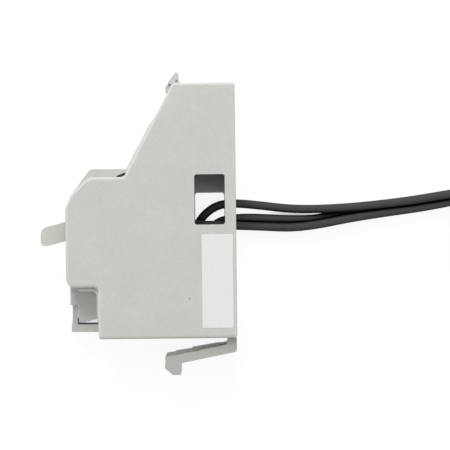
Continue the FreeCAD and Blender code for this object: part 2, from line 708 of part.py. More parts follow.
def lead_tube(name, points):
    """A tube of straight runs and tangent arcs, each as large as its runs allow."""
    spots = [Vector(*p) for p in points]
    edges = []
    radii = []
    start = spots[0]
    for before, here, after in zip(spots, spots[1:], spots[2:]):
        into = (here - before).normalize()
        out = (after - here).normalize()
        turn = into.getAngle(out)
        reach = 0.45 * min((here - before).Length, (after - here).Length)
        radius = reach / math.tan(turn / 2)
        first = here - into * reach
        last = here + out * reach
        middle = here + (out - into).normalize() * (radius / math.cos(turn / 2) - radius)
        edges.append(Part.LineSegment(start, first).toShape())
        edges.append(Part.Arc(first, middle, last).toShape())
        radii.append(radius)
        start = last
    edges.append(Part.LineSegment(start, spots[-1]).toShape())
    path = Part.Wire(edges)
    length = path.Length
    direction = spots[1] - spots[0]
    ring = Part.Wire([Part.makeCircle(LEAD_DIAMETER / 2, spots[0], direction)])
    tube = path.makePipeShell([ring], True, False)
    share = tube.Volume / (math.pi * LEAD_DIAMETER ** 2 / 4 * length)
    listed = " ".join(f"{r:.0f}" for r in radii)
    print(f"{name} lead: {length:.0f} mm, volume {share:.4f} of section times length, radii {listed}")
    return tube


def lead_coil(layer):
    """The outer shape of one lead's flat coil."""
    low = layer_height(layer) - LEAD_DIAMETER / 2
    outer = COIL_RADIUS + LEAD_DIAMETER / 2
    ring = post(COIL_X, COIL_Y, low, low + LEAD_DIAMETER, outer)
    return ring.cut(post(COIL_X, COIL_Y, low - 1, low + LEAD_DIAMETER + 1, coil_inner_radius()))


def coil_inner_radius():
    """The radius of the hole in the middle of a coil."""
    return COIL_RADIUS - COIL_TURNS * TURN_PITCH - LEAD_DIAMETER / 2


def end_sleeve(layer):
    """The crimped end sleeve on a lead's inner end, with its plastic collar."""
    place = math.radians(SLEEVE_PLACE - layer * SLEEVE_SPREAD)
    along = math.radians(SLEEVE_PLACE - layer * SLEEVE_SPREAD - 90 - SLEEVE_INWARD)
    outward = Vector(math.cos(place), math.sin(place), 0)
    direction = Vector(math.cos(along), math.sin(along), 0)
    start = Vector(COIL_X, COIL_Y, layer_height(layer)) + outward * SLEEVE_START
    collar = Part.makeCone(COLLAR_RADIUS, COLLAR_RADIUS * 0.75, COLLAR_LENGTH, start, direction)
    tube_start = start + direction * COLLAR_LENGTH
    tube = Part.makeCylinder(FERRULE_RADIUS, FERRULE_LENGTH, tube_start, direction)
    return collar.fuse(tube)


def bottom_latch():
    """The springy arm with its hook, hung on a pin in the rear corner."""
    points = [
        (-0.2, -0.3, 0.3),
        (-LATCH_LEG - 0.2, -0.3, 0.3),
        (-LATCH_LEG - 0.3, -2.6, 1.0),
        (-8.0, -3.6, 4.0),
        (-15.2, -4.8, 0.3),
        (-15.8, -5.3, 0.3),
        (-21.7, -6.1, 0.2),
        (-22.2, -6.4, 0.2),
        (-LATCH_REACH + 0.5, -7.7, 0.5),
        (-LATCH_REACH, -12.2, 0.6),
        (-LATCH_REACH + 3.4, -HOOK_DROP, 0.6),
        (-LATCH_REACH + HOOK_WIDTH, -HOOK_DROP, 0.2),
        (-LATCH_REACH + HOOK_WIDTH, -10.3, 0.3),
        (-0.2, -LATCH_DROP, 1.2),
    ]
    higher = [
        (-3.0, -3.0, 0),
        (-8.0, -3.15, 4.0),
        (-18.4, -4.85, 0.3),
        (-19.0, -5.4, 0.3),
        (-25.4, -6.3, 0.2),
        (-26.0, -6.75, 0.2),
        (-LATCH_REACH + 0.3, -7.25, 0.4),
        (-LATCH_REACH + 0.1, -9.0, 0),
        (-3.0, -4.2, 0),
    ]
    arm = plate(points[::-1], LATCH_FAR, LATCH_NEAR)
    arm = arm.fuse(plate(higher[::-1], LATCH_FAR, LATCH_NEAR - LATCH_STEP))
    tongue = box((-LATCH_PIN_DEPTH, -1.5, LATCH_FAR), (-2.15, LATCH_PIN_HEIGHT, LATCH_NEAR))
    eye = post(-LATCH_PIN_DEPTH, LATCH_PIN_HEIGHT, LATCH_FAR, LATCH_NEAR, 1.75)
    latch = arm.fuse([tongue, eye]).removeSplitter()
    hole = post(-LATCH_PIN_DEPTH, LATCH_PIN_HEIGHT, 0, 99, LATCH_PIN_RADIUS + RUNNING_CLEARANCE)
    return latch.cut(hole)


def latch_pin():
    """The thin steel pin that the latch swings on."""
    low = SIDE_WALL / 2
    high = HOUSING_WIDTH - SIDE_WALL - FIT_GAP
    return post(-LATCH_PIN_DEPTH, LATCH_PIN_HEIGHT, low, high, LATCH_PIN_RADIUS)


def clamp_strip():
    """The plated strip of the screw clamp: a foot on the ledge and an upright."""
    low_z = SIDE_WALL + 2 * FIT_GAP
    high_z = FAR_HALF_WIDTH - 2 * FIT_GAP
    front = -CLAMP_STRIP_DEPTH
    foot_low = (-HOUSING_DEPTH + 1.5, LEDGE_TOP, low_z)
    foot = box(foot_low, (front + CLAMP_STRIP_THICKNESS, LEDGE_TOP + CLAMP_STRIP_THICKNESS, high_z))
    upright_low = (front, LEDGE_TOP, low_z)
    upright = box(upright_low, (front + CLAMP_STRIP_THICKNESS, CLAMP_HEIGHT + 5.4, high_z))
    cheek = [
        (foot_low[0], LEDGE_TOP, 0),
        (foot_low[0] + 2.2, LEDGE_TOP, 0),
        (foot_low[0] + 2.2, LEDGE_TOP + 2.6, 0.3),
        (foot_low[0] + 1.2, LEDGE_TOP + 2.4, 0.3),
        (foot_low[0], LEDGE_TOP + 0.8, 0.3),
    ]
    end = -FOOT_DEPTH - 2 * FIT_GAP
    tail = [
        (front, LEDGE_TOP, 0),
        (front + 1.5, LEDGE_TOP, 0.3),
        (end, LEDGE_TOP + 0.7, 0),
        (end, LEDGE_TOP + 2.4, 0),
        (front + 1.5, LEDGE_TOP + CLAMP_STRIP_THICKNESS, 0.3),
        (front, LEDGE_TOP + CLAMP_STRIP_THICKNESS, 0),
    ]
    tail_low = CLAMP_Z - 1.5
    joined = foot.fuse([upright, plate(cheek, high_z - 0.8, high_z), plate(tail, tail_low, high_z)])
    hole = cylinder_x(front - 1, CLAMP_HEIGHT, CLAMP_Z, 9, CLAMP_SCREW_RADIUS)
    return joined.removeSplitter().cut(hole)


def clamp_washer_front():
    """The front face of the clamp washer."""
    return -CLAMP_STRIP_DEPTH - 1.6 - CLAMP_WASHER_THICKNESS


def clamp_washer():
    """The square washer under the clamp screw's head."""
    half = CLAMP_WASHER_SIDE / 2
    front = clamp_washer_front()
    low = (front, CLAMP_HEIGHT - half, CLAMP_Z - half)
    washer = box(low, (front + CLAMP_WASHER_THICKNESS, CLAMP_HEIGHT + half, CLAMP_Z + half))
    hole = cylinder_x(front - 1, CLAMP_HEIGHT, CLAMP_Z, 4, CLAMP_SCREW_RADIUS + RUNNING_CLEARANCE)
    return washer.cut(hole)


def clamp_screw():
    """The clamp screw, with a cross-slotted pan head."""
    under_head = clamp_washer_front()
    head_front = under_head - CLAMP_HEAD_HEIGHT
    head = cylinder_x(head_front, CLAMP_HEIGHT, CLAMP_Z, CLAMP_HEAD_HEIGHT, CLAMP_HEAD_RADIUS)
    head = head.makeFillet(0.6, [e for e in head.Edges if e.BoundBox.XMax < head_front + 0.01])
    shank = cylinder_x(under_head - 0.5, CLAMP_HEIGHT, CLAMP_Z, 6.5, CLAMP_SCREW_RADIUS)
    half = SCREW_SLOT_WIDTH / 2
    slot_low = (head_front - 1, CLAMP_HEIGHT - half, CLAMP_Z - CLAMP_HEAD_RADIUS - 1)
    slot_high = (head_front + 1.1, CLAMP_HEIGHT + half, CLAMP_Z + CLAMP_HEAD_RADIUS + 1)
    slot = box(slot_low, slot_high)
    return head.fuse(shank).removeSplitter().cut(slot)


def screw_head(x, y, low, gap):
    """The cone under a countersunk head."""
    depth = SCREW_HEAD_RADIUS - SCREW_RADIUS
    return Part.makeCone(SCREW_HEAD_RADIUS + gap, SCREW_RADIUS + gap, depth, Vector(x, y, low), Z_AXIS)


def case_screws():
    """The countersunk screws, put in from the far side."""
    screws = []
    for x, y in SCREW_PLACES:
        head = screw_head(-x, y, SCREW_HEAD_DEPTH, 0)
        shank_low = SCREW_HEAD_DEPTH + SCREW_SLOT_DEPTH
        shank = post(-x, y, shank_low, SCREW_LENGTH, SCREW_RADIUS - RUNNING_CLEARANCE)
        reach = SCREW_HEAD_RADIUS + 1
        half = SCREW_SLOT_WIDTH / 2
        slot_low = (-x - reach, y - half, 0)
        slot = box(slot_low, (-x + reach, y + half, SCREW_HEAD_DEPTH + SCREW_SLOT_DEPTH))
        screws.append(head.fuse(shank).cut(slot))
    return Part.makeCompound(screws)


def serial_label():
    """The plain paper label on the near side wall."""
    right = -LABEL_REAR
    low = (right - LABEL_WIDTH, LABEL_BOTTOM, HOUSING_WIDTH)
    high = (right, LABEL_BOTTOM + LABEL_HEIGHT, HOUSING_WIDTH + LABEL_THICKNESS)
    return box(low, high)


def build():
    """Every piece by its name, drawn from the rear face, bottom edge and far side."""
    pieces = {
        "near_housing": near_housing(),
        "far_housing": far_housing(),
        "mechanism_cover": mechanism_cover(),
        "toggle_lever": toggle_lever(),
        "switch_cam": switch_cam(),
        "pivot_pin": pivot_pin(),
        "switch_case": switch_case(),
        "switch_plunger": switch_plunger(),
        "bottom_latch": bottom_latch(),
        "latch_pin": latch_pin(),
        "clamp_strip": clamp_strip(),
        "clamp_washer": clamp_washer(),
        "clamp_screw": clamp_screw(),
        "case_screws": case_screws(),
        "serial_label": serial_label(),
    }
    low_tab, mid_tab, high_tab = switch_tabs()
    heights = {"upper": mid_tab, "middle": low_tab, "lower": high_tab}
    for name, y in heights.items():
        pieces[f"{name}_tab"] = tab_shape(y, 0)
        pieces[f"{name}_receptacle"] = receptacle(y)
    leads = {}
    layers = {"upper": 2, "middle": 0, "lower": 1}
    for name, points in lead_routes().items():
        leads[f"{name}_lead"] = lead_tube(name, points)
        leads[f"{name}_lead_coil"] = lead_coil(layers[name])
        leads[f"{name}_end_sleeve"] = end_sleeve(layers[name])
    return pieces, leads


def main():
    os.makedirs("parts", exist_ok=True)
    pieces, leads = build()
    block = Part.makeCompound(list(pieces.values())).optimalBoundingBox(False, False)
    move = Vector(-block.Center.x, -block.Center.y, -block.ZMin)
    for name, shape in {**pieces, **leads}.items():
        shape = shape.copy()
        shape.translate(move)
        if not shape.isValid() or shape.Volume <= 0:
            print(f"{name} is not a valid solid")
        shape.exportStep(f"parts/{name}.step")
        print(f"{name}: {len(shape.Solids)} solid(s), {shape.Volume:.1f} mm3")
    print(f"moved by {move.x:.6f} {move.y:.6f} {move.z:.6f}")


main()
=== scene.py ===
"""Looks of the auxiliary contact block: finishes, the three leads, small trim, light and camera.

Blender works in metres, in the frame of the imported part. Places are given as on the part's own
drawing, in millimetres from its rear face, its bottom edge and its far side, and place() turns
them into metres.
"""

import json
import math

import bpy
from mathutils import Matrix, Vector

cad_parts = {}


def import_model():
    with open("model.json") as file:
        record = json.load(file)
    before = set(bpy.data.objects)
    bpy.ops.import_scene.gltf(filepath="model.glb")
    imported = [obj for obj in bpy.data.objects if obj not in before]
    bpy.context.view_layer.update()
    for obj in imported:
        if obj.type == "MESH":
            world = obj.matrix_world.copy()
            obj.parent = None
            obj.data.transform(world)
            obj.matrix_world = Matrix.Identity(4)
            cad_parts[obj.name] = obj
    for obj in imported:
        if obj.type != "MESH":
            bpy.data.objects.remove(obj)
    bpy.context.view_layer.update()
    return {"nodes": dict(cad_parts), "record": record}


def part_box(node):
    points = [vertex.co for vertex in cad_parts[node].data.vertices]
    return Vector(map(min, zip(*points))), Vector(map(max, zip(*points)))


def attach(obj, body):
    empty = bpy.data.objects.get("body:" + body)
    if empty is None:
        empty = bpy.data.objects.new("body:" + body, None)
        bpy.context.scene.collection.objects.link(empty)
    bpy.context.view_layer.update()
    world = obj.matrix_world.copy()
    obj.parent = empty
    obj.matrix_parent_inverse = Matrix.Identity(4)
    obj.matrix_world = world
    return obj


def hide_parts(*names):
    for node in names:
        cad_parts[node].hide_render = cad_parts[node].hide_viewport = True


MM = 0.001

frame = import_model()
scene = bpy.context.scene
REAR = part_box("near_housing")[1].x
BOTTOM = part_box("near_housing")[0].y


def place(x, y, z):
    """A point of the drawing, in metres in the part's frame."""
    return Vector((REAR + x * MM, BOTTOM + y * MM, z * MM))


# Finishes: base colours are linear; sizes of grain, depths of bumps and reaches are in metres
GREY = (0.568, 0.568, 0.542)
LEVER_GREY = (0.60, 0.60, 0.55)
LATCH_GREY = (0.435, 0.44, 0.412)
# The leads' black: painted shade in the gaps, and a paler black as painted highlight where they are
# open on top
PAINTED_SHADE_BLACK = (0.003, 0.003, 0.004)
PAINTED_LIT_BLACK = (0.069, 0.068, 0.067)
DUSTY_BLACK = (0.06, 0.058, 0.055)
LABEL_WHITE = (0.79, 0.79, 0.775)
INSULATION_REACH = 0.010
CORNER_REACH = 0.008
GRAIN_TO_CLOUD_SIZE = 16
CLOUD_STRENGTH = 0.5
SPECK_SHADE = 0.35
SPECK_CORE_SHARE = 0.4
NOISE_RANGE = (0.3, 0.7)
OCCLUSION_SAMPLES = 8

# Sockets of the Mix node for colours, which share their names with its other kinds
MIX_FIRST = 6
MIX_SECOND = 7
MIX_RESULT = 2


class Finish:
    """A node-based material with a few helpers for its graph."""

    def __init__(self, name):
        self.material = bpy.data.materials.new(name)
        self.material.use_nodes = True
        self.tree = self.material.node_tree
        self.shader = self.tree.nodes["Principled BSDF"]
        self.where = self.node("ShaderNodeTexCoord").outputs["Object"]

    def node(self, kind, **values):
        """A new node of a kind, with some of its settings."""
        made = self.tree.nodes.new(kind)
        for name, value in values.items():
            setattr(made, name, value)
        return made

    def link(self, output, socket):
        """Leads an output to an input."""
        self.tree.links.new(output, socket)

    def set(self, **values):
        """Sets plain values of the shader, by the sockets' names with underscores for spaces."""
        for name, value in values.items():
            self.shader.inputs[name.replace("_", " ")].default_value = value

    def noise(self, size, detail=3.0, stretch=(1, 1, 1)):
        """Noise with features of about a size, drawn out along an axis where stretch is below 1."""
        mapping = self.node("ShaderNodeMapping")
        mapping.inputs["Scale"].default_value = stretch
        self.link(self.where, mapping.inputs["Vector"])
        texture = self.node("ShaderNodeTexNoise")
        texture.inputs["Scale"].default_value = 1 / size
        texture.inputs["Detail"].default_value = detail
        self.link(mapping.outputs["Vector"], texture.inputs["Vector"])
        return texture.outputs["Fac"]

    def ramp(self, value, low, high, from_low=NOISE_RANGE[0], from_high=NOISE_RANGE[1]):
        """A value between two limits, stretched from a range, by default the middle of a noise."""
        made = self.node("ShaderNodeMapRange")
        made.inputs["From Min"].default_value = from_low
        made.inputs["From Max"].default_value = from_high
        made.inputs["To Min"].default_value = low
        made.inputs["To Max"].default_value = high
        self.link(value, made.inputs["Value"])
        return made.outputs["Result"]

    def shade(self, colour, *shares):
        """A colour times each of some shares."""
        output = None
        for share in shares:
            mix = self.node("ShaderNodeVectorMath", operation="SCALE")
            if output is None:
                mix.inputs[0].default_value = colour
            else:
                self.link(output, mix.inputs[0])
            self.link(share, mix.inputs["Scale"])
            output = mix.outputs[0]
        return output

    def mix(self, factor, first, second):
        """Two colours mixed; each is a colour or an output."""
        made = self.node("ShaderNodeMix", data_type="RGBA")
        self.link(factor, made.inputs["Factor"])
        for value, socket in ((first, made.inputs[MIX_FIRST]), (second, made.inputs[MIX_SECOND])):
            if isinstance(value, tuple):
                socket.default_value = (*value, 1)
            else:
                self.link(value, socket)
        return made.outputs[MIX_RESULT]

    def dark_spot(self, x, y, z, radius):
        """A share that is low within a radius of a point of the drawing, and 1 elsewhere."""
        away = self.node("ShaderNodeVectorMath", operation="DISTANCE")
        self.link(self.where, away.inputs[0])
        away.inputs[1].default_value = place(x, y, z)
        return self.ramp(away.outputs["Value"], SPECK_SHADE, 1.0,
                         radius * SPECK_CORE_SHARE * MM, radius * MM)

    def openness(self, reach):
        """0 in a tight corner, 1 where nothing is within reach."""
        near = self.node("ShaderNodeAmbientOcclusion", samples=OCCLUSION_SAMPLES)
        near.inputs["Distance"].default_value = reach
        return near.outputs["AO"]

    def painted_rim_highlight(self, gain):
        """A painted highlight: a share above 1 on the rounded rim, between the level face and the
        side walls.
        """
        parts = self.node("ShaderNodeSeparateXYZ")
        self.link(self.node("ShaderNodeTexCoord").outputs["Normal"], parts.inputs[0])
        off_level = self.ramp(parts.outputs["Z"], 1.0, 0.0, from_low=0.93, from_high=0.985)
        off_side = self.ramp(parts.outputs["Z"], 0.0, gain, from_low=0.02, from_high=0.12)
        both = self.node("ShaderNodeMath", operation="MULTIPLY_ADD")
        self.link(off_level, both.inputs[0])
        self.link(off_side, both.inputs[1])
        both.inputs[2].default_value = 1.0
        return both.outputs["Value"]

    def bump(self, height, depth, strength=1.0):
        """Raises the surface with a value, by at most a depth."""
        made = self.node("ShaderNodeBump")
        made.inputs["Strength"].default_value = strength
        made.inputs["Distance"].default_value = depth
        self.link(height, made.inputs["Height"])
        self.link(made.outputs["Normal"], self.shader.inputs["Normal"])


def moulded(name, colour, grain=0.0004, depth=0.00002, roughness=0.5, mottle=0.03,
            painted_light=0.0, corner_shade=0.0, specks_and_shade=()):
    """Spark-eroded plastic: fine grain, a faint mottle, uneven sheen, a painted highlight on the
    rim, painted shade in corners.
    """
    finish = Finish(name)
    fine = finish.noise(grain, detail=4.0)
    broad = finish.noise(grain * GRAIN_TO_CLOUD_SIZE, detail=2.0)
    clouds = mottle * CLOUD_STRENGTH
    grainy = finish.ramp(fine, 1 - mottle, 1 + mottle)
    cloudy = finish.ramp(broad, 1 - clouds, 1 + clouds)
    shares = [grainy, cloudy] + [finish.dark_spot(*dark_spot) for dark_spot in specks_and_shade]
    # painted highlight: the rounded rim made paler
    if painted_light:
        shares.append(finish.painted_rim_highlight(painted_light))
    # painted shade: darker in corners and recesses, where little is open around
    if corner_shade:
        open_share = finish.openness(CORNER_REACH)
        shares.append(finish.ramp(open_share, 1 - corner_shade, 1.0, from_low=0.4, from_high=0.95))
    finish.link(finish.shade(colour, *shares), finish.shader.inputs["Base Color"])
    sheen = finish.ramp(fine, roughness - 0.06, roughness + 0.08)
    finish.link(sheen, finish.shader.inputs["Roughness"])
    finish.bump(fine, depth)
    return finish


def smooth_plastic(name, colour, roughness=0.35):
    """Smooth plastic with slight flow marks."""
    finish = Finish(name)
    flow = finish.noise(0.003, detail=2.0)
    streaked = finish.shade(colour, finish.ramp(flow, 0.95, 1.05))
    finish.link(streaked, finish.shader.inputs["Base Color"])
    sheen = finish.ramp(flow, roughness - 0.05, roughness + 0.05)
    finish.link(sheen, finish.shader.inputs["Roughness"])
    finish.bump(flow, depth=0.00002)
    return finish


def metal(name, colour, roughness, stretch):
    """Drawn or plated metal with fine lines along one axis."""
    finish = Finish(name)
    lines = finish.noise(0.0002, detail=3.0, stretch=stretch)
    patches = finish.noise(0.002, detail=2.0)
    finish.set(Metallic=1.0)
    drawn = finish.ramp(lines, 0.9, 1.08)
    patchy = finish.ramp(patches, 0.94, 1.04)
    finish.link(finish.shade(colour, drawn, patchy), finish.shader.inputs["Base Color"])
    sheen = finish.ramp(patches, roughness, roughness + 0.15)
    finish.link(sheen, finish.shader.inputs["Roughness"])
    finish.bump(lines, depth=0.000006)
    return finish


def insulation(name):
    """Black soft insulation: matt, faintly rippled, with a painted highlight where it is open on
    top and painted shade, black, in the gaps.
    """
    finish = Finish(name)
    ripple = finish.noise(0.004, detail=2.0)
    fine = finish.noise(0.0003, detail=3.0)
    # painted light: paler where the lead is open on top, black as painted shade in the gaps
    open_share = finish.openness(INSULATION_REACH)
    painted_lit_share = finish.ramp(open_share, 0.0, 1.0, from_low=0.5, from_high=1.0)
    grime = finish.noise(0.0012, detail=4.0)
    dust = finish.ramp(grime, 0.0, 0.3, from_low=0.62, from_high=0.8)
    painted_light = finish.mix(painted_lit_share, PAINTED_SHADE_BLACK, PAINTED_LIT_BLACK)
    finish.link(finish.mix(dust, painted_light, DUSTY_BLACK), finish.shader.inputs["Base Color"])
    finish.set(Specular_IOR_Level=0.03)
    finish.link(finish.ramp(fine, 0.4, 0.5), finish.shader.inputs["Roughness"])
    finish.bump(ripple, depth=0.00012, strength=0.6)
    return finish


def label_film(name):
    """Matt white label film with a soft fibre."""
    finish = Finish(name)
    fibre = finish.noise(0.0005, detail=4.0, stretch=(1, 0.4, 1))
    flecked = finish.shade(LABEL_WHITE, finish.ramp(fibre, 0.975, 1.025))
    finish.link(flecked, finish.shader.inputs["Base Color"])
    finish.link(finish.ramp(fibre, 0.5, 0.62), finish.shader.inputs["Roughness"])
    finish.bump(fibre, depth=0.000008)
    return finish


# Dark specks of the housing, and painted shade in the recess by the hook's finger: a place on the
# drawing and a radius
WALL_SPECKS_AND_SHADE = [
    (-19.26, 16.2, 27.0, 0.42),
    (-1.4, 1.4, 26.6, 0.35),
    # painted shade in the small recess between the hook's finger and its heel
    (-24.0, 106.5, 11.2, 0.75),
]
FINISHES = {
    "housing_grey": moulded("housing_plastic", GREY, grain=0.0007, depth=0.00003, roughness=0.5,
                            mottle=0.045, painted_light=0.12, specks_and_shade=WALL_SPECKS_AND_SHADE),
    "lever_grey": moulded("lever_plastic", LEVER_GREY, grain=0.0006, depth=0.00001,
                          roughness=0.42, mottle=0.02, corner_shade=0.25),
    "latch_grey": moulded("latch_plastic", LATCH_GREY, grain=0.0006, depth=0.00001,
                          roughness=0.4, mottle=0.03, corner_shade=0.15),
    "case_black": moulded("case_plastic", (0.03, 0.03, 0.032), grain=0.0003, depth=0.00001,
                          roughness=0.45, mottle=0.05),
    "plunger_white": smooth_plastic("plunger_plastic", (0.8, 0.8, 0.78), 0.3),
    "cam_dark": smooth_plastic("cam_plastic", (0.12, 0.12, 0.125), 0.35),
    "zinc_steel": metal("zinc_plating", (0.72, 0.75, 0.8), 0.22, stretch=(1, 0.08, 1)),
    "pin_steel": metal("pin_steel", (0.6, 0.6, 0.62), 0.25, stretch=(1, 1, 0.08)),
    "brass": metal("brass_strip", (0.8, 0.62, 0.3), 0.28, stretch=(0.08, 1, 1)),
    "sleeve_clear": smooth_plastic("sleeve_plastic", (0.5, 0.51, 0.53), 0.3),
    "lead_black": insulation("lead_insulation"),
    "collar_black": smooth_plastic("collar_plastic", (0.025, 0.025, 0.027), 0.35),
    "label_white": label_film("label_film"),
}


def new_piece(name, data):
    """An object of the scene."""
    piece = bpy.data.objects.new(name, data)
    scene.collection.objects.link(piece)
    return piece


def loft(name, rings):
    """A closed mesh through rings that have the same number of points."""
    count = len(rings[0])
    last = count * (len(rings) - 1)
    faces = [tuple(reversed(range(count))), tuple(range(last, last + count))]
    for row in range(0, last, count):
        for i in range(count):
            following = (i + 1) % count
            faces.append((row + i, row + following, row + following + count, row + i + count))
    mesh = bpy.data.meshes.new(name)
    mesh.from_pydata([point for ring in rings for point in ring], [], faces)
    return new_piece(name, mesh)


def dress(piece, slot):
    """Gives a piece the finish of one of the record's slots."""
    piece.data.materials.clear()
    piece.data.materials.append(FINISHES[slot].material)
    return piece


for part in frame["record"]["subparts"]:
    dress(frame["nodes"][part["node"]], part["material_slot"])


# Leads: each runs on its route, then through its layer of the coil, to its end sleeve
LEAD_RADIUS = 1.8
COIL_X = 120.0
COIL_Y = 35.5
COIL_RADIUS = 24.0
TURN_PITCH = 3.7
LAYER_PITCH = 3.7
LAYER_FLOOR = 1.9
POINTS_PER_TURN = 16
SLEEVE_PLACE = -80.0
SLEEVE_SPREAD = 14.0
SLEEVE_INWARD = 42.0
SLEEVE_START = 11.6
TAIL_RADIUS = 7.6
TAIL_START_TURNS = 2.35
TAIL_STEPS = 4
RUN_INTO_SLEEVE = 2.0

# The layer of the coil that each lead takes, counted from the floor
LAYERS = {"upper": 2, "middle": 0, "lower": 1}
# Each lead's way from its receptacle to the coil
ROUTES = {
    "upper": [
        (-29.07, 39.6, 7.15),
        (-22.07, 39.6, 7.15),
        (-17.6, 43.2, 5.4),
        (-14.0, 50.2, 4.4),
        (-7.6, 54.9, 4.1),
        (-0.2, 55.5, 4.3),
        (9.0, 54.7, 3.1),
        (24.4, 52.7, 2.0),
        (39.5, 52.7, 4.6),
        (54.7, 53.65, 5.5),
        (73.0, 55.6, 5.65),
        (91.0, 58.45, 5.65),
        (101.5, 59.9, 9.3),
    ],
    "middle": [
        (-29.07, 32.6, 7.15),
        (-22.07, 32.6, 7.15),
        (-16.2, 35.9, 5.4),
        (-12.4, 42.2, 4.2),
        (-7.3, 48.2, 4.0),
        (1.8, 49.41, 4.0),
        (12.0, 49.14, 2.5),
        (22.0, 48.5, 1.9),
        (33.0, 48.4, 1.95),
        (43.0, 50.5, 1.9),
        (58.0, 52.8, 1.95),
        (75.0, 55.8, 1.9),
        (91.0, 58.3, 1.9),
        (101.5, 58.6, 1.9),
    ],
    "lower": [
        (-29.07, 46.6, 7.15),
        (-22.07, 46.6, 7.15),
        (-16.8, 46.5, 9.0),
        (-9.0, 46.3, 8.6),
        (2.0, 45.95, 5.3),
        (12.0, 45.5, 2.9),
        (24.3, 44.8, 3.6),
        (36.0, 46.2, 5.0),
        (47.0, 48.4, 5.0),
        (62.3, 50.7, 4.6),
        (77.5, 52.6, 3.9),
        (91.0, 54.95, 3.9),
        (101.5, 57.3, 5.6),
    ],
}


def tail_shape():
    """The tail's turn on its own small circle, and the angle that it spans round the coil."""
    offset = COIL_RADIUS - TURN_PITCH * TAIL_START_TURNS - TAIL_RADIUS
    share = (SLEEVE_START**2 - offset**2 - TAIL_RADIUS**2) / (2 * offset * TAIL_RADIUS)
    turn = math.acos(share)
    span = math.atan2(TAIL_RADIUS * math.sin(turn), offset + TAIL_RADIUS * share)
    return turn, span


def coil_points(layer):
    """The turns of one lead's coil, then its tail into the end sleeve, clockwise from the top."""
    height = LAYER_FLOOR + layer * LAYER_PITCH
    turn, span = tail_shape()
    last_angle = math.radians(SLEEVE_PLACE - layer * SLEEVE_SPREAD) + span
    sweep = (math.pi / 2 - last_angle) % math.tau + math.tau * 2
    count = round(POINTS_PER_TURN * sweep / math.tau)
    points = []
    for i in range(count + 1):
        gone = sweep * i / count
        angle = math.pi / 2 - gone
        radius = COIL_RADIUS - TURN_PITCH * gone / math.tau
        x = COIL_X + radius * math.cos(angle)
        y = COIL_Y + radius * math.sin(angle)
        points.append((x, y, height))
    centre_x = COIL_X + (radius - TAIL_RADIUS) * math.cos(angle)
    centre_y = COIL_Y + (radius - TAIL_RADIUS) * math.sin(angle)
    for i in range(1, TAIL_STEPS + 1):
        along = angle - turn * i / TAIL_STEPS
        x = centre_x + TAIL_RADIUS * math.cos(along)
        y = centre_y + TAIL_RADIUS * math.sin(along)
        points.append((x, y, height))
    return points


def sleeve_axis(layer):
    """Where an end sleeve starts and the way that it points, in metres."""
    at = math.radians(SLEEVE_PLACE - layer * SLEEVE_SPREAD)
    along = at - math.radians(90 + SLEEVE_INWARD)
    height = LAYER_FLOOR + layer * LAYER_PITCH
    x = COIL_X + SLEEVE_START * math.cos(at)
    y = COIL_Y + SLEEVE_START * math.sin(at)
    return place(x, y, height), Vector((math.cos(along), math.sin(along), 0))


def lead(name, layer):
    """One lead as a smooth tube, from its receptacle to its end sleeve."""
    curve = bpy.data.curves.new(f"{name}_lead_wire", "CURVE")
    curve.dimensions = "3D"
    curve.bevel_depth = LEAD_RADIUS * MM
    curve.bevel_resolution = 7
    curve.resolution_u = 6
    curve.use_fill_caps = True
    points = [place(*p) for p in ROUTES[name] + coil_points(layer)]
    start, direction = sleeve_axis(layer)
    points.append(start + direction * RUN_INTO_SLEEVE * MM)
    spline = curve.splines.new("NURBS")
    spline.points.add(len(points) - 1)
    for point, where in zip(spline.points, points):
        point.co = (*where, 1)
    spline.order_u = 3
    spline.use_endpoint_u = True
    return new_piece(f"{name}_lead_wire", curve)


def revolve(name, profile, start, direction, segments=32):
    """A closed mesh turned from (along, radius) pairs in millimetres, about a line from start."""
    side = direction.orthogonal().normalized()
    up = direction.cross(side)
    rings = []
    for along, radius in profile:
        ring = []
        for i in range(segments):
            angle = math.tau * i / segments
            offset = side * math.cos(angle) + up * math.sin(angle)
            ring.append(start + direction * along * MM + offset * radius * MM)
        rings.append(ring)
    piece = loft(name, rings)
    piece.data.shade_smooth()
    return piece


# Profiles of an end sleeve: distance along the lead's axis, and radius
COLLAR_PROFILE = [
    (0.0, 1.82), (0.15, 1.88), (2.6, 1.8), (3.2, 1.65), (4.2, 1.42), (5.7, 1.36), (6.0, 1.2),
]
FERRULE_PROFILE = [
    (5.5, 1.04), (6.6, 1.04), (6.9, 0.88), (7.7, 0.86), (8.0, 1.0), (8.4, 1.0), (8.7, 0.86),
    (9.5, 0.86), (9.8, 1.0), (10.2, 1.0), (10.5, 0.86), (11.3, 0.86), (11.6, 1.0), (12.0, 1.0),
    (12.3, 0.88), (13.1, 0.88), (13.4, 1.04), (13.9, 1.08), (14.0, 0.98),
]


def end_sleeve(name, layer):
    """The collar and the crimped tube at a lead's end."""
    start, direction = sleeve_axis(layer)
    collar = dress(revolve(f"{name}_collar", COLLAR_PROFILE, start, direction), "collar_black")
    ferrule = dress(revolve(f"{name}_ferrule", FERRULE_PROFILE, start, direction), "zinc_steel")
    for piece in (collar, ferrule):
        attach(piece, "base")
    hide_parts(f"{name}_end_sleeve")
    return [collar, ferrule]


for lead_name, lead_layer in LAYERS.items():
    wire = dress(lead(lead_name, lead_layer), "lead_black")
    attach(wire, "base")
    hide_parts(f"{lead_name}_lead", f"{lead_name}_lead_coil")
    ends = end_sleeve(lead_name, lead_layer)


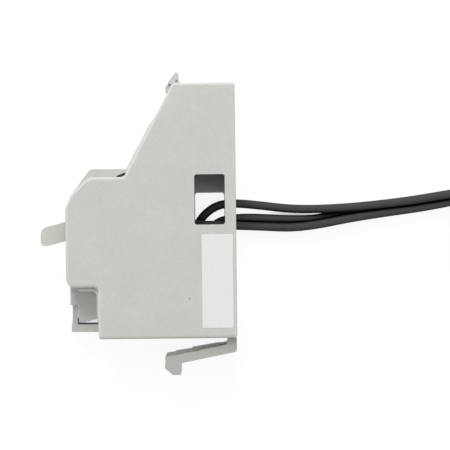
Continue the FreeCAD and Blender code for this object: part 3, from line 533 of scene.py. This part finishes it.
# Thin trim and a black sheet as painted shadow in the clamp's gap, fixed to the housing.
# The rim's bevel has a section at each of its stations along the slope's edge; outward is
# the way off the slope, and reach is how far the bevel stands out
RIM_STATIONS = ((-32.0, 91.3), (-34.3, 87.0), (-43.7, 69.35), (-44.9, 67.1))
RIM_OUTWARD = (-0.883, 0.469)
RIM_REACH_HIGH = 0.66
RIM_REACH_LOW = 0.34
LIP_INSIDE_CENTRE = (-59.2, 17.5)
LIP_INSIDE_RADIUS = 2.05


def strip(name, outline, low, high, slot):
    """A closed strip: an outline in x and y between two heights."""
    rings = [[place(x, y, z) for x, y in outline] for z in (low, high)]
    piece = dress(loft(name, rings), slot)
    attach(piece, "base")


def raised_section(reach):
    """The bevel's section where it stands out: how far outward, and how high."""
    return ((-1.95, 26.9), (-1.8, 27.05), (-1.0, 26.8), (0.0, 26.3), (reach, 25.8), (reach, 25.3),
            (-1.0, 25.3))


def slope_rim():
    """The bevel along the raised part of the slope, laid over the rounded rim."""
    flush = ((-1.4, 26.9), (-1.3, 26.98), (-0.7, 26.85), (-0.3, 26.5), (-0.05, 25.9),
             (-0.05, 25.3), (-1.0, 25.3))
    sections = (flush, raised_section(RIM_REACH_HIGH), raised_section(RIM_REACH_LOW), flush)
    rings = []
    for at, section in zip(RIM_STATIONS, sections):
        rings.append([place(*(Vector(at) + Vector(RIM_OUTWARD) * out), z) for out, z in section])
    piece = dress(loft("slope_rim", rings), "housing_grey")
    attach(piece, "base")


def lip_outline():
    """The ledge under the nose, with its rounded inner corner, clockwise from its foot."""
    corner = []
    for degrees in range(90, -1, -15):
        angle = math.radians(degrees)
        corner.append((LIP_INSIDE_CENTRE[0] + LIP_INSIDE_RADIUS * math.cos(angle),
                       LIP_INSIDE_CENTRE[1] + LIP_INSIDE_RADIUS * math.sin(angle)))
    return [(-56.4, 8.4), (-56.4, 20.8), (-64.2, 20.8), (-64.2, 19.55), *corner, (-57.15, 8.4)]


# Name, outline, lower and upper height, slot
STRIPS = (
    ("nose_lip", lip_outline(), 20.5, 24.9, "housing_grey"),
    ("clamp_shim", [(-63.4, 6.3), (-57.7, 6.25), (-57.7, 7.7)], 12.95, 13.1, "zinc_steel"),
    # a thin black sheet laid where the clamp's gap lies in shadow: a painted shadow
    ("clamp_gap_shadow",
     [(-66.1, 8.2), (-66.1, 5.55), (-57.7, 5.55), (-57.7, 6.2), (-65.7, 6.2), (-65.7, 8.2)],
     12.95, 13.06, "collar_black"),
    ("clamp_jamb",
     [(-68.6, 5.4), (-66.1, 5.4), (-66.1, 8.3), (-68.45, 8.3)],
     9.5, 11.1, "housing_grey"),
    ("hook_heel",
     [(-28.75, 103.9), (-25.0, 103.9), (-25.0, 105.2), (-28.0, 105.2), (-28.75, 104.2)],
     4.3, 9.86, "housing_grey"),
)

slope_rim()
for strip_row in STRIPS:
    strip(*strip_row)


# Floor, light and camera
FLOOR_SIZE = 3.0
FLOOR_UNSEEN_SHARE = 0.7
FLOOR_SHARE = 0.16
FLOOR_GLOW = 0.89
CONTACT_REACH = 0.0026
CONTACT_RANGE = (0.15, 0.38)
WORLD_LEVEL = 0.36
CAMERA_HEIGHT = 0.587
CAMERA_FOOT = (-9.96, 35.85)
CAMERA_ROLL = -0.65
LENS = 110.35
PRINCIPAL_PIXEL = (212.0, 250.0)
IMAGE_SIZE = 450.0
# Name, place, size and power of each light
LIGHTS = (
    ("top_light", (-0.15, 1.35, 1.12), 1.0, 19.5),
    ("left_light", (-0.95, 0.1, 0.6), 0.6, 3.7),
    ("right_light", (0.95, -0.1, 0.6), 0.6, 3.0),
)


def seen_directly(tree):
    """1 for what the camera, a reflection or a see-through surface shows."""
    path = tree.nodes.new("ShaderNodeLightPath")
    total = None
    for name in ("Is Camera Ray", "Is Glossy Ray", "Is Transmission Ray"):
        if total is None:
            total = path.outputs[name]
            continue
        add = tree.nodes.new("ShaderNodeMath")
        add.operation = "MAXIMUM"
        tree.links.new(total, add.inputs[0])
        tree.links.new(path.outputs[name], add.inputs[1])
        total = add.outputs[0]
    return total


def contact_shade(tree):
    """0 in narrow gaps between pieces that lie on the floor, 1 where the floor is open."""
    near = tree.nodes.new("ShaderNodeAmbientOcclusion")
    near.samples = OCCLUSION_SAMPLES
    near.inputs["Distance"].default_value = CONTACT_REACH
    made = tree.nodes.new("ShaderNodeMapRange")
    made.inputs["From Min"].default_value = CONTACT_RANGE[0]
    made.inputs["From Max"].default_value = CONTACT_RANGE[1]
    tree.links.new(near.outputs["AO"], made.inputs["Value"])
    return made.outputs["Result"]


def floor():
    """A pale floor that shows the object's shadow faintly."""
    mesh = bpy.data.meshes.new("floor")
    half = FLOOR_SIZE / 2
    corners = [(-half, -half, 0), (half, -half, 0), (half, half, 0), (-half, half, 0)]
    mesh.from_pydata(corners, [], [(0, 1, 2, 3)])
    piece = new_piece("floor", mesh)
    material = bpy.data.materials.new("floor_white")
    material.use_nodes = True
    tree = material.node_tree
    shader = tree.nodes["Principled BSDF"]
    shader.inputs["Roughness"].default_value = 0.9
    shader.inputs["Specular IOR Level"].default_value = 0.0
    shader.inputs["Emission Color"].default_value = (1, 1, 1, 1)
    seen = seen_directly(tree)
    levels = []
    for unseen_value, seen_value in ((FLOOR_UNSEEN_SHARE, FLOOR_SHARE), (0.0, FLOOR_GLOW)):
        level = tree.nodes.new("ShaderNodeMapRange")
        level.inputs["To Min"].default_value = unseen_value
        level.inputs["To Max"].default_value = seen_value
        tree.links.new(seen, level.inputs["Value"])
        levels.append(level.outputs["Result"])
    tree.links.new(levels[0], shader.inputs["Base Color"])
    glow = tree.nodes.new("ShaderNodeMath")
    glow.operation = "MULTIPLY"
    tree.links.new(levels[1], glow.inputs[0])
    tree.links.new(contact_shade(tree), glow.inputs[1])
    tree.links.new(glow.outputs[0], shader.inputs["Emission Strength"])
    mesh.materials.append(material)


def area_light(name, where, size, power):
    """A square soft light that points at the frame's origin."""
    data = bpy.data.lights.new(name, "AREA")
    data.shape = "SQUARE"
    data.size = size
    data.energy = power
    light = new_piece(name, data)
    light.location = where
    light.rotation_euler = (-Vector(where)).to_track_quat("-Z", "Y").to_euler()


def world():
    """A white surround: plain white where it is seen, dimmer as light."""
    made = bpy.data.worlds.new("surround")
    scene.world = made
    made.use_nodes = True
    tree = made.node_tree
    background = tree.nodes["Background"]
    background.inputs["Color"].default_value = (1, 1, 1, 1)
    level = tree.nodes.new("ShaderNodeMapRange")
    level.inputs["To Min"].default_value = WORLD_LEVEL
    level.inputs["To Max"].default_value = 1.0
    tree.links.new(seen_directly(tree), level.inputs["Value"])
    tree.links.new(level.outputs["Result"], background.inputs["Strength"])


def camera():
    """Straight down on the near side, with the photo's slight roll and off-centre axis."""
    data = bpy.data.cameras.new("camera")
    data.sensor_width = 36.0
    data.lens = LENS
    data.shift_x = 0.5 - PRINCIPAL_PIXEL[0] / IMAGE_SIZE
    data.shift_y = PRINCIPAL_PIXEL[1] / IMAGE_SIZE - 0.5
    data.clip_start = 0.01
    data.clip_end = 20.0
    made = new_piece("camera", data)
    foot = place(*CAMERA_FOOT, 0)
    made.location = (foot.x, foot.y, CAMERA_HEIGHT)
    made.rotation_euler = (0, 0, math.radians(CAMERA_ROLL))
    scene.camera = made


floor()
world()
for light_row in LIGHTS:
    area_light(*light_row)
camera()
scene.view_settings.view_transform = "Standard"
